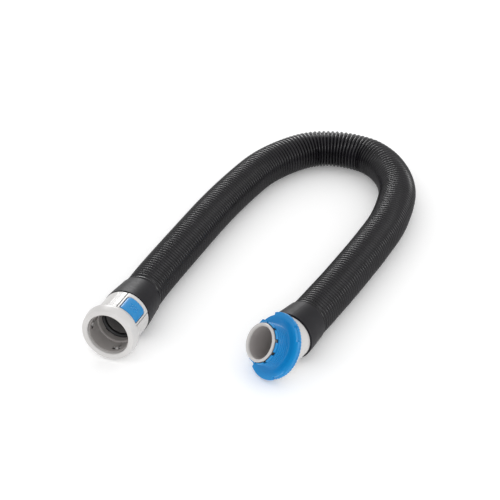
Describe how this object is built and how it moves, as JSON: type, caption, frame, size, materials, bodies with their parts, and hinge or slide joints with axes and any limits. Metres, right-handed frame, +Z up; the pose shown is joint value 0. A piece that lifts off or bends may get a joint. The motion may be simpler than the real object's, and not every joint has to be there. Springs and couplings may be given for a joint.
{
  "type": "respirator breathing hose",
  "caption": "Corrugated breathing hose of a powered air respirator, with a push-button headpiece coupling and a twist-lock blower elbow.",
  "frame": {"origin": "on the surface that the hose lies on, under the centre of the box round the two end fittings (without the free hose)", "axes": "+Z up, the two fittings point towards -Y and lie apart along +X, the hose loops round the +Y side"},
  "size_m": [0.2021, 0.4201, 0.0521],
  "materials": {
    "light_grey_plastic": "moulded satin-gloss light warm grey",
    "inner_grey_plastic": "moulded matt mid grey",
    "black_plastic": "moulded satin dark grey",
    "blue_plastic": "moulded satin blue",
    "black_hose": "satin black elastomer with fine corrugation",
    "black_rubber": "satin dark grey-black rubber",
    "spring_steel": "bright spring steel"
  },
  "bodies": {
    "hose_assembly": {"hose": "black_hose", "headpiece_cuff": "black_rubber", "swivel_stub": "black_plastic", "swivel_clip": "spring_steel", "swivel_seal": "black_rubber", "blower_cuff": "black_rubber", "elbow_body": "light_grey_plastic", "spigot_tube": "light_grey_plastic", "spigot_seal": "black_rubber", "ring_retainer": "spring_steel"},
    "headpiece_coupling": {"coupling_housing": "light_grey_plastic", "latch_cover": "light_grey_plastic", "coupling_liner": "inner_grey_plastic", "mouth_seal": "black_rubber", "button_spring": "spring_steel", "jaw_spring_left": "spring_steel", "jaw_spring_right": "spring_steel"},
    "release_button": {"release_button": "blue_plastic"},
    "latch_jaw_left": {"latch_jaw_left": "light_grey_plastic"},
    "latch_jaw_right": {"latch_jaw_right": "light_grey_plastic"},
    "bayonet_ring": {"bayonet_ring": "blue_plastic", "grip_rim": "blue_plastic"}
  },
  "joints": [
    {"name": "headpiece_swivel", "type": "hinge", "parent": "hose_assembly", "child": "headpiece_coupling", "pos_m": [-0.0675, -0.0528, 0.02685], "axis": [0.13, -0.9875, 0.0889], "continuous": true},
    {"name": "button_press", "type": "slide", "parent": "headpiece_coupling", "child": "release_button", "axis": [-0.6284, -0.1514, -0.763], "range_m": [0, 0.0015], "stiffness_N_per_m": 3000, "springref_m": -0.0008, "deforming": ["button_spring"]},
    {"name": "jaw_left_slide", "type": "slide", "parent": "headpiece_coupling", "child": "latch_jaw_left", "axis": [-0.9887, -0.1223, 0.0868], "range_m": [0, 0.001], "deforming": ["jaw_spring_left"]},
    {"name": "jaw_right_slide", "type": "slide", "parent": "headpiece_coupling", "child": "latch_jaw_right", "axis": [0.2678, -0.0513, -0.9621], "range_m": [0, 0.001], "deforming": ["jaw_spring_right"]},
    {"name": "bayonet_turn", "type": "hinge", "parent": "hose_assembly", "child": "bayonet_ring", "pos_m": [0.06031, -0.00973, 0.03683], "axis": [-0.4472, -0.6992, 0.5577], "continuous": true}
  ],
  "couplings": [
    {"joint": "jaw_left_slide", "follows": "button_press", "ratio": 0.6667},
    {"joint": "jaw_right_slide", "follows": "button_press", "ratio": 0.6667}
  ]
}
